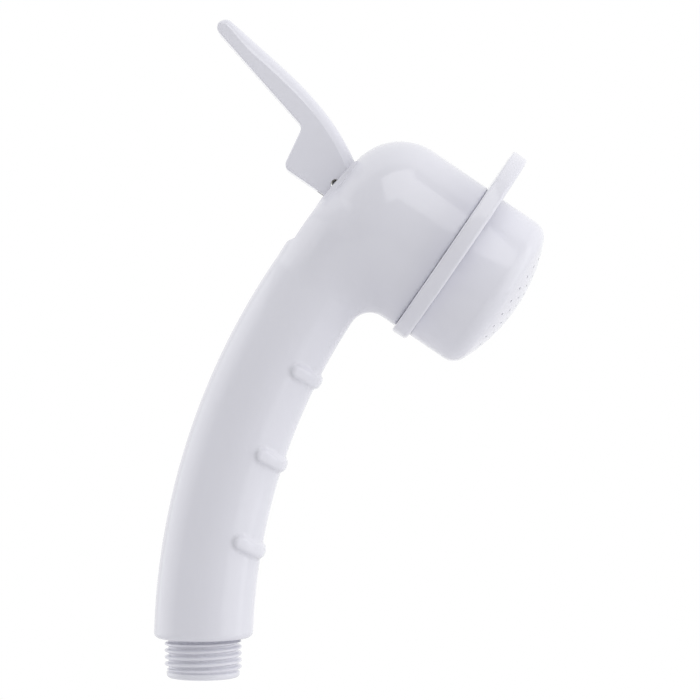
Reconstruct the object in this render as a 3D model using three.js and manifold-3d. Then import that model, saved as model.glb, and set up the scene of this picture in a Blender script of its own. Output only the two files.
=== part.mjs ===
// Handheld shower head with a toggle lever: a curved grip, a tilted round head, and a lift valve
// that the lever on the back of the head pulls open.
// Millimetres, +Z up. The origin is the centre of the hose thread's end face. +X is the spray side.

import * as THREE from "three";
import { mergeVertices } from "three/addons/utils/BufferGeometryUtils.js";
import Module from "manifold-3d";

const wasm = await Module();
wasm.setup();

// ---- Driving dimensions ----

const GAP = 0.3; // clearance between pieces that touch on the real object
const ROUND = 36; // facets round a large piece
const SMALL_ROUND = 16; // facets round a small piece

// Grip: a round section swept along an arc whose centre lies on the spray side.
const GRIP_R = 13.5;
const GRIP_ARC_R = 177;
const GRIP_ARC_Z = 6.4; // height of the arc's centre
const GRIP_END_Z = 10.8; // lower face of the grip
const GRIP_TOP_DEG = 45.4; // where the arc ends, inside the head
const GRIP_BORE_R = 10.2;
const GRIP_BORE_TOP_DEG = 39.5;
const SOCKET_R = 10.4; // counterbore that takes the hose nipple
const SOCKET_TOP_Z = 24;

// Finger ribs on the spray side of the grip.
const RIB_ANGLES_DEG = [10.2, 18.5, 26.9];
const RIB_RISE = 1.2;
const RIB_LENGTH = 9.8;
const RIB_WIDTH = 3.9;
const RIB_DEPTH = 10.7; // from the grip's centre line to the rib's middle
const RIB_TILT_DEG = -30;

// Hose nipple with a G 1/2 pipe thread.
const THREAD_R = 10.4775;
const THREAD_PITCH = 1.814;
const THREAD_DEPTH = 1.0;
const THREAD_START_Z = 1.9;
const THREAD_TURNS = 4;
const PILOT_R = 9.95;
const NIPPLE_BORE_R = 6.2;
const NIPPLE_TOP_Z = 22;
const NIPPLE_GROOVE_Z = [15.5, 18];
const NIPPLE_GROOVE_R = 8;
const STRAINER = { thick: 1, rings: 2, ringStep: 3.1, holeR: 1.1 };

// Head: stations run along the spray axis, zero at the collar's rear face, positive to the front.
const HEAD_TILT_DEG = 34.3; // spray axis below the horizontal
const HEAD_X = 64.9;
const HEAD_Z = 114.3;
const HEAD_R = 22.5;
const HEAD_REAR = -34;
const HEAD_REAR_FLAT_R = 6.5;
const CHAMBER_R = 18.2;
const CHAMBER_REAR = -27.8;
const CHAMBER_REAR_R = 8;
const SPIGOT_R = 20.6;
const SPIGOT_END = 9.5;
const SPIGOT_BORE_R = 18.9;
const SPIGOT_LEDGE = 1.8;

// Gland boss inside the head, round the valve stem.
const BOSS_R = 7.4;
const BOSS_BORE_R = 5.2;
const BOSS_FRONT = -17;
const GLAND_R = BOSS_BORE_R - GAP;
const GLAND_RING_STATION = -26.35;
const GLAND_RING_R = [3.825, 1.05]; // to the middle of its section, and of the section itself
const GLAND_WASHER = [-25, -24];
const GLAND_NUT = [-23.7, -17.3];

// Lever well and landing facet on the back of the head.
const WELL_FLOOR = -31.3;
const WELL_LOW = -4.7;
const WELL_HIGH = 8.6;
const CHEEK_LOW = -7.5;
const CHEEK_HIGH = 7.8;
const CHEEK_HALF = 6.8;
const FACET = -35.75;
const FACET_LOW = -18.4; // inner corner of the shelf below the facet
const SHELF_TILT_DEG = 39;

// Valve stem, and the lever pinned to its tongue.
const STEM_R = 2.45;
const TONGUE_HALF = 2;
const TONGUE_FRONT = -29.9;
const PIN_STATION = -34.9;
const PIN_R = 0.95;
const PIN_HALF = 4.2;
const LEVER_HALF = 5;
const FORK_HALF = TONGUE_HALF + GAP;
const FORK_REACH = 3.1;
const LEVER_BASE_R = 8.15;

// Collar: a round plate set off centre, upwards.
const COLLAR_R = 29.5;
const COLLAR_ROUND = 52; // facets round the collar
const COLLAR_OFFSET = 5.44;
const COLLAR_FRONT = 4.6;
const COLLAR_REAR_ROUND = 0.5;
const COLLAR_FRONT_ROUND = 1;

// Spray cup with a domed face.
const CUP_R = 22.35;
const CUP_REAR = COLLAR_FRONT + GAP;
const CUP_BORE_R = 20.9;
const CUP_SHOULDER = 13.6;
const CUP_APEX = 24.65;
const CUP_DOME_R = 47;
const CUP_CORNER_R = 5;
const CUP_WALL = 1.8;
const CUP_INNER_R = 17;
const CUP_LEDGE_R = 18.6;
const CUP_LEDGE_FRONT = 16.6;
const CUP_GASKET = [9.8, 11.2];
const CUP_GASKET_R = [17.8, 20.5];
const DIFFUSER = { radius: 20.5, rear: 11.5, front: 13.1, rings: 2, ringStep: 6.2, holeR: 2.1 };
const NOZZLE_R = 0.45;
const NOZZLE_RINGS = 4;
const NOZZLE_RING_STEP = 4;
const NOZZLES_PER_RING_STEP = 6;

// Valve seat and the washer that closes it.
const SEAT_REAR = 2.1;
const SEAT_FRONT = 6.3;
const SEAT_HOLE_R = 5.5;
const SEAT_GROOVE_R = 16.6;
const SEAT_GROOVE_HALF = 1.15;
const RETAINER_R = 15;
const RETAINER_FRONT = 9.2;
const WASHER_R = 8;
const WASHER_FRONT = SEAT_REAR - GAP;
const WASHER_NUT_R = 3.6;
const WASHER_NUT_FRONT = 4;
const FLANGE_REAR = -4.2;
const FLANGE_FRONT = -1.5;
const FLANGE_R = 7.2;
const STUB_R = 2;
const STUB_END = 4.6;

// ---- Frames ----

const rad = THREE.MathUtils.degToRad;
const SPRAY_AXIS = new THREE.Vector3(Math.cos(rad(HEAD_TILT_DEG)), 0, -Math.sin(rad(HEAD_TILT_DEG)));
const HEAD_UP = new THREE.Vector3(Math.sin(rad(HEAD_TILT_DEG)), 0, Math.cos(rad(HEAD_TILT_DEG)));
const ACROSS = new THREE.Vector3(0, 1, 0);

// The head's own frame: local X runs up the back of the head, local Y along the spray axis.
const headMatrix = new THREE.Matrix4().makeBasis(HEAD_UP, SPRAY_AXIS, ACROSS).setPosition(HEAD_X, 0, HEAD_Z);

// ---- Solids ----

// A closed three.js geometry as a solid, moved by a matrix.
function solidOf(geometry, matrix = new THREE.Matrix4()) {
  const bare = geometry.clone();
  bare.deleteAttribute("normal");
  bare.deleteAttribute("uv");
  const merged = mergeVertices(bare.applyMatrix4(matrix), 1e-4);
  const corners = merged.index.array;
  const kept = [];
  for (let i = 0; i < corners.length; i += 3) {
    const [a, b, c] = corners.subarray(i, i + 3);
    if (a !== b && b !== c && c !== a) {
      kept.push(a, b, c);
    }
  }
  const vertProperties = new Float32Array(merged.attributes.position.array);
  const triVerts = new Uint32Array(kept);
  return new wasm.Manifold(new wasm.Mesh({ numProp: 3, vertProperties, triVerts }));
}

// A solid back as a three.js geometry.
function geometryOf(solid) {
  const mesh = solid.getMesh();
  const geometry = new THREE.BufferGeometry();
  geometry.setAttribute("position", new THREE.BufferAttribute(mesh.vertProperties, 3));
  geometry.setIndex(new THREE.BufferAttribute(mesh.triVerts, 1));
  geometry.computeVertexNormals();
  return geometry;
}

// Points [radius, station] on an arc, for a turned profile. Angles are in degrees.
function arc(centreR, centreY, radius, fromDeg, toDeg, steps) {
  const points = [];
  for (let i = 0; i <= steps; i += 1) {
    const angle = rad(THREE.MathUtils.lerp(fromDeg, toDeg, i / steps));
    points.push([centreR + radius * Math.cos(angle), centreY + radius * Math.sin(angle)]);
  }
  return points;
}

// A piece turned about local Y. The profile's outer side runs in the direction of +Y.
function turned(profile, sides = ROUND) {
  const points = profile.map(([r, y]) => new THREE.Vector2(r, y));
  return new THREE.LatheGeometry(points, sides);
}

function turnedRod(radius, from, to, sides = ROUND) {
  return turned([[0, from], [radius, from], [radius, to], [0, to]], sides);
}

function turnedRing(innerR, outerR, from, to, sides = ROUND) {
  return turned([[innerR, from], [outerR, from], [outerR, to], [innerR, to], [innerR, from]], sides);
}

// An O-ring about local Y.
function oRing(majorR, minorR, station) {
  return turned(arc(majorR, station, minorR, -180, 180, 6), SMALL_ROUND);
}

function box(low, high) {
  const size = high.map((value, i) => value - low[i]);
  const centre = high.map((value, i) => (value + low[i]) / 2);
  return new THREE.BoxGeometry(...size).translate(...centre);
}

// A round bar across the object, through a point given in the head's frame.
function crossBar(radius, half, station) {
  const bar = new THREE.CylinderGeometry(radius, radius, 2 * half, SMALL_ROUND);
  return bar.rotateX(Math.PI / 2).translate(0, station, 0);
}

// ---- Grip and head ----

class GripLine extends THREE.Curve {
  constructor(fromDeg, toDeg) {
    super();
    this.from = fromDeg;
    this.to = toDeg;
  }

  getPoint(t, target = new THREE.Vector3()) {
    const angle = rad(THREE.MathUtils.lerp(this.from, this.to, t));
    return target.set(GRIP_ARC_R * (1 - Math.cos(angle)), 0, GRIP_ARC_Z + GRIP_ARC_R * Math.sin(angle));
  }
}

function gripSweep(radius, fromDeg, toDeg, steps, sides) {
  const section = new THREE.Shape().absarc(0, 0, radius, 0, 2 * Math.PI);
  const extrudePath = new GripLine(fromDeg, toDeg);
  return new THREE.ExtrudeGeometry(section, { extrudePath, steps, curveSegments: sides / 2 });
}

// A rib is where a slightly thicker grip meets a round-ended bar lying across it.
function rib(angleDeg) {
  const half = (RIB_LENGTH - RIB_WIDTH) / 2;
  const outline = new THREE.Shape();
  outline.absarc(half, 0, RIB_WIDTH / 2, -Math.PI / 2, Math.PI / 2);
  outline.absarc(-half, 0, RIB_WIDTH / 2, Math.PI / 2, (3 * Math.PI) / 2);
  const depth = 4 * GRIP_R;
  const bar = new THREE.ExtrudeGeometry(outline, { depth, bevelEnabled: false, curveSegments: 4 });
  const reach = GRIP_ARC_R - RIB_DEPTH;
  const x = GRIP_ARC_R - reach * Math.cos(rad(angleDeg));
  const z = GRIP_ARC_Z + reach * Math.sin(rad(angleDeg));
  bar.translate(0, 0, -depth / 2).rotateZ(rad(RIB_TILT_DEG)).rotateX(Math.PI / 2).translate(x, 0, z);
  const thickGrip = gripSweep(GRIP_R + RIB_RISE, angleDeg - 4, angleDeg + 4, 3, 28);
  return solidOf(thickGrip).intersect(solidOf(bar));
}

function headShell() {
  const roundR = HEAD_R - HEAD_REAR_FLAT_R;
  return turned([
    [0, HEAD_REAR],
    ...arc(HEAD_REAR_FLAT_R, HEAD_REAR + roundR, roundR, -90, 0, 7),
    [HEAD_R, -GAP / 2],
    [SPIGOT_R, -GAP / 2],
    [SPIGOT_R, SPIGOT_END],
    [0, SPIGOT_END],
  ]);
}

function headChamber() {
  const roundR = CHAMBER_R - CHAMBER_REAR_R;
  return turned([
    [0, CHAMBER_REAR],
    ...arc(CHAMBER_REAR_R, CHAMBER_REAR + roundR, roundR, -90, 0, 4),
    [CHAMBER_R, SPIGOT_LEDGE],
    [SPIGOT_BORE_R, SPIGOT_LEDGE],
    [SPIGOT_BORE_R, SPIGOT_END + 1],
    [0, SPIGOT_END + 1],
  ]);
}

// Flat cheeks beside the lever well, level with the grip's back as seen from the side.
function wellCheeks() {
  const outline = new THREE.Shape();
  outline.moveTo(CHEEK_LOW, WELL_FLOOR);
  for (let i = 0; i <= 4; i += 1) {
    const height = THREE.MathUtils.lerp(CHEEK_LOW, CHEEK_HIGH, i / 4);
    outline.lineTo(height, gripBack(height) + 0.05);
  }
  outline.lineTo(CHEEK_HIGH, WELL_FLOOR);
  const prism = new THREE.ExtrudeGeometry(outline, { depth: 2 * CHEEK_HALF, bevelEnabled: false });
  return prism.translate(0, 0, -CHEEK_HALF);
}

// Station of the grip's back at a height up the head, in the middle plane.
function gripBack(height) {
  const toArcX = GRIP_ARC_R - HEAD_X;
  const toArcZ = GRIP_ARC_Z - HEAD_Z;
  const arcHeight = toArcX * HEAD_UP.x + toArcZ * HEAD_UP.z;
  const arcStation = toArcX * SPRAY_AXIS.x + toArcZ * SPRAY_AXIS.z;
  return arcStation - Math.sqrt((GRIP_ARC_R + GRIP_R) ** 2 - (height - arcHeight) ** 2);
}

// What is cut away to leave the flat facet, with a sloping shelf at its lower end.
function facetCut() {
  const depth = 10;
  const half = 20;
  const outline = new THREE.Shape();
  outline.moveTo(FACET_LOW, FACET);
  outline.lineTo(FACET_LOW - depth / Math.tan(rad(SHELF_TILT_DEG)), FACET - depth);
  outline.lineTo(WELL_HIGH, FACET - depth);
  outline.lineTo(WELL_HIGH, FACET);
  return new THREE.ExtrudeGeometry(outline, { depth: 2 * half, bevelEnabled: false }).translate(0, 0, -half);
}

function makeHandleBody() {
  const upright = new THREE.Matrix4().makeRotationX(Math.PI / 2);
  let body = solidOf(gripSweep(GRIP_R, 0, GRIP_TOP_DEG, 16, ROUND));
  for (const angleDeg of RIB_ANGLES_DEG) {
    body = body.add(rib(angleDeg));
  }
  body = body.add(solidOf(headShell(), headMatrix));
  body = body.add(solidOf(wellCheeks(), headMatrix));
  body = body.subtract(solidOf(headChamber(), headMatrix));
  body = body.add(solidOf(turnedRod(BOSS_R, CHAMBER_REAR - 1, BOSS_FRONT, SMALL_ROUND), headMatrix));
  body = body.subtract(solidOf(gripSweep(GRIP_BORE_R, 0, GRIP_BORE_TOP_DEG, 8, 20)));
  body = body.subtract(solidOf(turnedRod(SOCKET_R, 0, SOCKET_TOP_Z, 28), upright));
  body = body.subtract(solidOf(box([-20, -20, 0], [20, 20, GRIP_END_Z])));
  const gland = turnedRod(BOSS_BORE_R, CHAMBER_REAR, BOSS_FRONT + 1, SMALL_ROUND);
  body = body.subtract(solidOf(gland, headMatrix));
  const stemBore = turnedRod(STEM_R + GAP, HEAD_REAR - 5, BOSS_FRONT, SMALL_ROUND);
  body = body.subtract(solidOf(stemBore, headMatrix));
  const wellHalf = LEVER_HALF + GAP;
  const well = box([WELL_LOW, HEAD_REAR - 10, -wellHalf], [WELL_HIGH, WELL_FLOOR, wellHalf]);
  body = body.subtract(solidOf(well, headMatrix));
  return body.subtract(solidOf(facetCut(), headMatrix));
}

// ---- Hose nipple and what sits in the grip's socket ----

function nippleProfile() {
  const rootR = THREAD_R - THREAD_DEPTH;
  const profile = [
    [NIPPLE_BORE_R, 0],
    [PILOT_R - 0.9, 0],
    [PILOT_R, 0.9],
    [PILOT_R, THREAD_START_Z - 0.2],
  ];
  for (let i = 0; i <= THREAD_TURNS; i += 1) {
    const z = THREAD_START_Z + i * THREAD_PITCH;
    profile.push([rootR, z], [THREAD_R, z + 0.7], [THREAD_R, z + 1.1], [rootR, z + 1.6]);
  }
  const [grooveLow, grooveHigh] = NIPPLE_GROOVE_Z;
  const spigotR = SOCKET_R - GAP;
  profile.push([rootR, GRIP_END_Z], [spigotR, GRIP_END_Z]);
  profile.push([spigotR, grooveLow], [NIPPLE_GROOVE_R, grooveLow]);
  profile.push([NIPPLE_GROOVE_R, grooveHigh], [spigotR, grooveHigh]);
  profile.push([spigotR, NIPPLE_TOP_Z], [NIPPLE_BORE_R, NIPPLE_TOP_Z], [NIPPLE_BORE_R, 0]);
  return profile;
}

function makeNipple() {
  return turned(nippleProfile(), 28);
}

function makeNippleORing() {
  const minorR = (SOCKET_R - NIPPLE_GROOVE_R) / 2 - GAP;
  const majorR = (SOCKET_R + NIPPLE_GROOVE_R) / 2;
  return oRing(majorR, minorR, (NIPPLE_GROOVE_Z[0] + NIPPLE_GROOVE_Z[1]) / 2);
}

// A round plate with rings of holes, lying across local Y.
function perforatedPlate(plateR, from, to, { rings, ringStep, holeR }) {
  const outline = new THREE.Shape().absarc(0, 0, plateR, 0, 2 * Math.PI);
  for (let ring = 1; ring <= rings; ring += 1) {
    const count = 6 * ring;
    for (let i = 0; i < count; i += 1) {
      const angle = (2 * Math.PI * i) / count;
      const [x, y] = [ring * ringStep * Math.cos(angle), ring * ringStep * Math.sin(angle)];
      outline.holes.push(new THREE.Path().absarc(x, y, holeR, 0, 2 * Math.PI, true));
    }
  }
  const options = { depth: to - from, bevelEnabled: false, curveSegments: 4 };
  return new THREE.ExtrudeGeometry(outline, options).rotateX(-Math.PI / 2).translate(0, from, 0);
}

function makeStrainer() {
  const rear = NIPPLE_TOP_Z + GAP;
  return perforatedPlate(SOCKET_R - GAP, rear, rear + STRAINER.thick, STRAINER);
}

// ---- Front of the head ----

function makeCollar() {
  const profile = [
    [0, GAP / 2],
    ...arc(COLLAR_R - COLLAR_REAR_ROUND, GAP / 2 + COLLAR_REAR_ROUND, COLLAR_REAR_ROUND, -90, 0, 1),
    ...arc(COLLAR_R - COLLAR_FRONT_ROUND, COLLAR_FRONT - COLLAR_FRONT_ROUND, COLLAR_FRONT_ROUND, 0, 90, 2),
    [0, COLLAR_FRONT],
  ];
  const plate = solidOf(turned(profile, COLLAR_ROUND).translate(COLLAR_OFFSET, 0, 0));
  return geometryOf(plate.subtract(solidOf(turnedRod(SPIGOT_R + GAP, -1, COLLAR_FRONT + 1))));
}

function cupShell() {
  const domeY = CUP_APEX - CUP_DOME_R;
  const cornerR = CUP_R - CUP_CORNER_R;
  const cornerRise = Math.sqrt((CUP_DOME_R - CUP_CORNER_R) ** 2 - cornerR ** 2);
  const tangentDeg = THREE.MathUtils.radToDeg(Math.atan2(cornerRise, cornerR));
  const innerDomeR = CUP_DOME_R - CUP_WALL;
  const innerEdgeDeg = THREE.MathUtils.radToDeg(Math.acos(CUP_INNER_R / innerDomeR));
  return turned([
    [CUP_BORE_R, CUP_REAR],
    [CUP_R - 0.4, CUP_REAR],
    [CUP_R, CUP_REAR + 0.4],
    ...arc(cornerR, domeY + cornerRise, CUP_CORNER_R, 0, tangentDeg, 4),
    ...arc(0, domeY, CUP_DOME_R, tangentDeg, 90, 5).slice(1, -1),
    [0, CUP_APEX],
    [0, CUP_APEX - CUP_WALL],
    ...arc(0, domeY, innerDomeR, 90, innerEdgeDeg, 3).slice(1),
    [CUP_LEDGE_R, CUP_LEDGE_FRONT],
    [CUP_LEDGE_R, CUP_SHOULDER],
    [CUP_BORE_R, CUP_SHOULDER],
    [CUP_BORE_R, CUP_REAR],
  ]);
}

function makeSprayCup() {
  let cup = solidOf(cupShell());
  for (let ring = 0; ring <= NOZZLE_RINGS; ring += 1) {
    const count = Math.max(1, ring * NOZZLES_PER_RING_STEP);
    for (let i = 0; i < count; i += 1) {
      const angle = (2 * Math.PI * i) / count;
      const r = ring * NOZZLE_RING_STEP;
      const hole = new THREE.CylinderGeometry(NOZZLE_R, NOZZLE_R, 16, 4);
      cup = cup.subtract(solidOf(hole.translate(r * Math.cos(angle), CUP_APEX, r * Math.sin(angle))));
    }
  }
  return geometryOf(cup);
}

function makeSeat() {
  const rimR = SPIGOT_BORE_R - GAP;
  const middle = (SEAT_REAR + SEAT_FRONT) / 2;
  return turned([
    [SEAT_HOLE_R, SEAT_REAR],
    [rimR, SEAT_REAR],
    [rimR, middle - SEAT_GROOVE_HALF],
    [SEAT_GROOVE_R, middle - SEAT_GROOVE_HALF],
    [SEAT_GROOVE_R, middle + SEAT_GROOVE_HALF],
    [rimR, middle + SEAT_GROOVE_HALF],
    [rimR, SEAT_FRONT],
    [SEAT_HOLE_R, SEAT_FRONT],
    [SEAT_HOLE_R, SEAT_REAR],
  ]);
}

function makeSeatORing() {
  const minorR = (SPIGOT_BORE_R - SEAT_GROOVE_R) / 2 - GAP;
  return oRing((SPIGOT_BORE_R + SEAT_GROOVE_R) / 2, minorR, (SEAT_REAR + SEAT_FRONT) / 2);
}

// ---- Valve ----

function makeStem() {
  const rod = turned([
    [0, PIN_STATION - STEM_R],
    [STEM_R, PIN_STATION - STEM_R],
    [STEM_R, FLANGE_REAR],
    [FLANGE_R, FLANGE_REAR],
    [FLANGE_R, FLANGE_FRONT],
    [STUB_R, FLANGE_FRONT],
    [STUB_R, STUB_END],
    [0, STUB_END],
  ], SMALL_ROUND);
  const rounded = solidOf(crossBar(STEM_R, 3, PIN_STATION)).add(
    solidOf(box([-10, PIN_STATION, -10], [10, STUB_END + 1, 10])),
  );
  let stem = solidOf(rod).intersect(rounded);
  for (const side of [-1, 1]) {
    const flat = box([-5, PIN_STATION - 5, TONGUE_HALF], [5, TONGUE_FRONT, TONGUE_HALF + 3]);
    stem = stem.subtract(solidOf(side > 0 ? flat : flat.rotateY(Math.PI)));
  }
  return geometryOf(stem.subtract(solidOf(crossBar(PIN_R + GAP, 6, PIN_STATION))));
}

// A round wire wound from the boss to the stem's flange.
class SpringLine extends THREE.Curve {
  constructor(radius, from, to, turns) {
    super();
    Object.assign(this, { radius, from, to, turns });
  }

  getPoint(t, target = new THREE.Vector3()) {
    const angle = 2 * Math.PI * this.turns * t;
    const y = THREE.MathUtils.lerp(this.from, this.to, t);
    return target.set(this.radius * Math.cos(angle), y, this.radius * Math.sin(angle));
  }
}

function makeSpring() {
  const wireR = 0.5;
  const turns = 4;
  const from = BOSS_FRONT + GAP + wireR;
  const to = FLANGE_REAR - GAP - wireR;
  const extrudePath = new SpringLine((BOSS_R + BOSS_BORE_R) / 2, from, to, turns);
  const section = new THREE.Shape().absarc(0, 0, wireR, 0, 2 * Math.PI);
  return new THREE.ExtrudeGeometry(section, { extrudePath, steps: 10 * turns, curveSegments: 3 });
}

// ---- Lever ----

// The lever's side view: v runs up the head, u outwards from its back, both from the pin.
function leverOutline() {
  const outline = new THREE.Shape();
  outline.moveTo(-3.2, -3.1);
  outline.quadraticCurveTo(-4.2, -3.1, -4.2, -2.1);
  outline.lineTo(-4.2, 12.4);
  outline.quadraticCurveTo(-4.2, 14.3, -2, 14.6);
  outline.lineTo(6.2, 15.9);
  outline.quadraticCurveTo(7.75, 16.2, 8.1, 17.7);
  outline.absarc(18.3, 48.5, 2.3, rad(167), 0, true);
  outline.bezierCurveTo(17.9, 25.6, 16.6, 12.9, 8.119, -0.71);
  outline.absarc(0, 0, LEVER_BASE_R, rad(-5), rad(-22), true);
  return outline;
}

function makeLever() {
  const options = { depth: 2 * LEVER_HALF, bevelEnabled: false, curveSegments: 6 };
  const plate = new THREE.ExtrudeGeometry(leverOutline(), options);
  // Turn the outline so that u points to the rear, against the spray axis.
  plate.translate(0, 0, -options.depth / 2).rotateX(Math.PI).translate(0, PIN_STATION, 0);
  const fork = box(
    [-10, PIN_STATION - FORK_REACH, -FORK_HALF],
    [FORK_REACH, PIN_STATION + 10, FORK_HALF],
  );
  const pinHole = crossBar(PIN_R + GAP, LEVER_HALF + 1, PIN_STATION);
  return geometryOf(solidOf(plate).subtract(solidOf(fork)).subtract(solidOf(pinHole)));
}

// ---- Assembly ----

const white = { color: 0xeeeef3, roughness: 0.28, metalness: 0 };
const rubber = { color: 0x26262a, roughness: 0.7, metalness: 0 };
const brass = { color: 0xc9a45c, roughness: 0.3, metalness: 1 };
const steel = { color: 0x9a9ca3, roughness: 0.3, metalness: 1 };

function piece(name, geometry, finish) {
  const mesh = new THREE.Mesh(geometry, new THREE.MeshStandardMaterial(finish));
  mesh.name = name;
  return mesh;
}

const upright = new THREE.Group();
upright.rotation.x = Math.PI / 2;
upright.add(piece("hose_nipple", makeNipple(), white));
upright.add(piece("nipple_o_ring", makeNippleORing(), rubber));
upright.add(piece("inlet_strainer", makeStrainer(), steel));

const head = new THREE.Group();
head.applyMatrix4(headMatrix);
head.add(piece("collar_ring", makeCollar(), white));
head.add(piece("spray_cup", makeSprayCup(), white));
head.add(piece("cup_gasket", turnedRing(...CUP_GASKET_R, ...CUP_GASKET), rubber));
const diffuser = perforatedPlate(DIFFUSER.radius, DIFFUSER.rear, DIFFUSER.front, DIFFUSER);
head.add(piece("flow_diffuser", diffuser, white));
head.add(piece("valve_seat", makeSeat(), brass));
head.add(piece("seat_o_ring", makeSeatORing(), rubber));
const retainer = turnedRing(RETAINER_R, SPIGOT_BORE_R - GAP, SEAT_FRONT + GAP, RETAINER_FRONT);
head.add(piece("seat_retainer", retainer, white));
head.add(piece("gland_o_ring", oRing(...GLAND_RING_R, GLAND_RING_STATION), rubber));
head.add(piece("gland_washer", turnedRing(STEM_R + GAP, GLAND_R, ...GLAND_WASHER, SMALL_ROUND), brass));
head.add(piece("gland_nut", turnedRing(STEM_R + GAP, GLAND_R, ...GLAND_NUT, SMALL_ROUND), brass));
head.add(piece("valve_stem", makeStem(), brass));
const washer = turnedRing(STUB_R + GAP, WASHER_R, FLANGE_FRONT + GAP, WASHER_FRONT);
head.add(piece("valve_washer", washer, rubber));
const sixSided = 6;
const washerNut = turnedRing(STUB_R + GAP, WASHER_NUT_R, SEAT_REAR, WASHER_NUT_FRONT, sixSided);
head.add(piece("washer_nut", washerNut, brass));
head.add(piece("stem_spring", makeSpring(), steel));
head.add(piece("lever", makeLever(), white));
head.add(piece("lever_pin", crossBar(PIN_R, PIN_HALF, PIN_STATION), steel));

const shower = new THREE.Group();
shower.add(piece("handle_body", geometryOf(makeHandleBody()), white));
shower.add(upright, head);

export default shower;
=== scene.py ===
"""Builds the looks of a handheld shower head with a toggle lever, in metres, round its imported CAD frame."""

import math

import bmesh
import bpy
import numpy as np
from mathutils import Matrix, Vector


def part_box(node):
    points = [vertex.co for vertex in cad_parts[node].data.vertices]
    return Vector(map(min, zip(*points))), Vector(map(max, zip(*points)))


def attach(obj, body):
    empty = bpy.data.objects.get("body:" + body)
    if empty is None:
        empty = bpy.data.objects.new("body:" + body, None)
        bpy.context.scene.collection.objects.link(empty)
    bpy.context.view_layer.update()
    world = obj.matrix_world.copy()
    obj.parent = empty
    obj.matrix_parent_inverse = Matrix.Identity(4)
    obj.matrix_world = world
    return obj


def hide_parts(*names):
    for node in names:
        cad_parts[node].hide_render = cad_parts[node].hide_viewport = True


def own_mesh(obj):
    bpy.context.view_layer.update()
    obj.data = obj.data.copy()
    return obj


bl_info = {
    "name": "Handheld Shower Head",
    "version": (1, 0, 0),
    "blender": (4, 5, 0),
    "location": "View3D > Sidebar > Shower",
    "description": "Makes the visible pieces, finishes and studio of a handheld shower head",
    "category": "Object",
}

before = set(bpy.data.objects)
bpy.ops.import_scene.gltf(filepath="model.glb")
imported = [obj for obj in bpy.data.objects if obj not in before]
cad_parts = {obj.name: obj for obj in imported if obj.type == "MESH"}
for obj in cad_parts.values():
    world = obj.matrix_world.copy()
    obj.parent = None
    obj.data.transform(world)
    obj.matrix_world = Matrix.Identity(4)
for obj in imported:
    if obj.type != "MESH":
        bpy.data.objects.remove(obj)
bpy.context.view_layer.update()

HOUSING = "housing"
STEM = "stem"
TOGGLE = "toggle"

# ---- Places and sizes that several pieces share, in metres and radians ----
# The grip's end is read from the frame. The others repeat the CAD source's own, but for the seam,
# the cup's rear that is worked out from it, and the lever's roundings.

SEAM = 0.00004  # gap left at the joints between mouldings
GRIP_ARC_R = 0.177
GRIP_ARC_Z = 0.0064
GRIP_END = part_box("handle_body")[0][2]
GRIP_TOP = math.radians(45.4)
GRIP_BORE_TOP = math.radians(39.5)
HEAD_TILT = math.radians(34.3)
HEAD_CENTRE = Vector((0.0649, 0.0, 0.1143))
SPRAY = Vector((math.cos(HEAD_TILT), 0.0, -math.sin(HEAD_TILT)))
UP = Vector((math.sin(HEAD_TILT), 0.0, math.cos(HEAD_TILT)))
PIN_STATION = -0.0349
SPIGOT_R = 0.0206
WELL_FLOOR = -0.0313
FACET = -0.03575
FACET_LOW = -0.0184
SHELF_TILT = math.radians(39.0)
CHEEK_LOW = -0.0075
CHEEK_HIGH = 0.0078
CHEEK_HALF = 0.0068
LEVER_OUTER_ROUND = 0.0047
LEVER_TIP_ROUND = 0.0026
LEVER_CRISP_ROUND = 0.0006
COLLAR_FRONT = 0.0046
CUP_REAR = COLLAR_FRONT + SEAM


def head_point(height, across, station):
    """A point given up the head, across it and along the spray axis, in the row frame."""
    return HEAD_CENTRE + UP * height + Vector((0.0, across, 0.0)) + SPRAY * station


def head_matrix():
    """Turns local X, Y, Z into up the head, across it and along the spray axis."""
    across = Vector((0.0, -1.0, 0.0))
    turned = Matrix((UP, across, SPRAY)).transposed().to_4x4()
    turned.translation = HEAD_CENTRE
    return turned


def pin_matrix():
    """Turns local Z along the lever's pin, which lies across the head."""
    return Matrix.Translation(head_point(0.0, 0.0, PIN_STATION)) @ Matrix.Rotation(math.pi / 2, 4, "X")


# ---- Distance fields: negative inside, in metres ----


def smoothstep(low, high, value):
    t = np.clip((value - low) / (high - low), 0.0, 1.0)
    return t * t * (3.0 - 2.0 * t)


def join_round(a, b, radius):
    """Union of two fields with a fillet of that radius where they meet."""
    corner = np.hypot(np.maximum(radius - a, 0.0), np.maximum(radius - b, 0.0))
    return np.maximum(radius, np.minimum(a, b)) - corner


def meet_round(a, b, radius):
    """Intersection of two fields with a rounded edge of that radius."""
    corner = np.hypot(np.maximum(radius + a, 0.0), np.maximum(radius + b, 0.0))
    return np.minimum(-radius, np.maximum(a, b)) + corner


def cut_round(a, b, radius):
    """Field a with field b cut out of it, and the new edge rounded."""
    return meet_round(a, -b, radius)


def grip_tube(x, y, z, radius):
    """The endless round bar whose centre line is the grip's arc."""
    off_line = np.hypot(GRIP_ARC_R - x, z - GRIP_ARC_Z) - GRIP_ARC_R
    return np.hypot(off_line, y) - radius


def above_grip_angle(x, z, angle):
    """How far a point lies past that angle along the grip's arc."""
    return (x - GRIP_ARC_R) * math.sin(angle) + (z - GRIP_ARC_Z) * math.cos(angle)


def bullet(r, station, radius, rear, rounding):
    """A turned body with a rounded rear edge, without end to the front."""
    out = r - (radius - rounding)
    back = (rear + rounding) - station
    return (
        np.hypot(np.maximum(out, 0.0), np.maximum(back, 0.0))
        + np.minimum(np.maximum(out, back), 0.0)
        - rounding
    )


def drum(r, station, radius, low, high):
    return np.maximum(r - radius, np.maximum(low - station, station - high))


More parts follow.
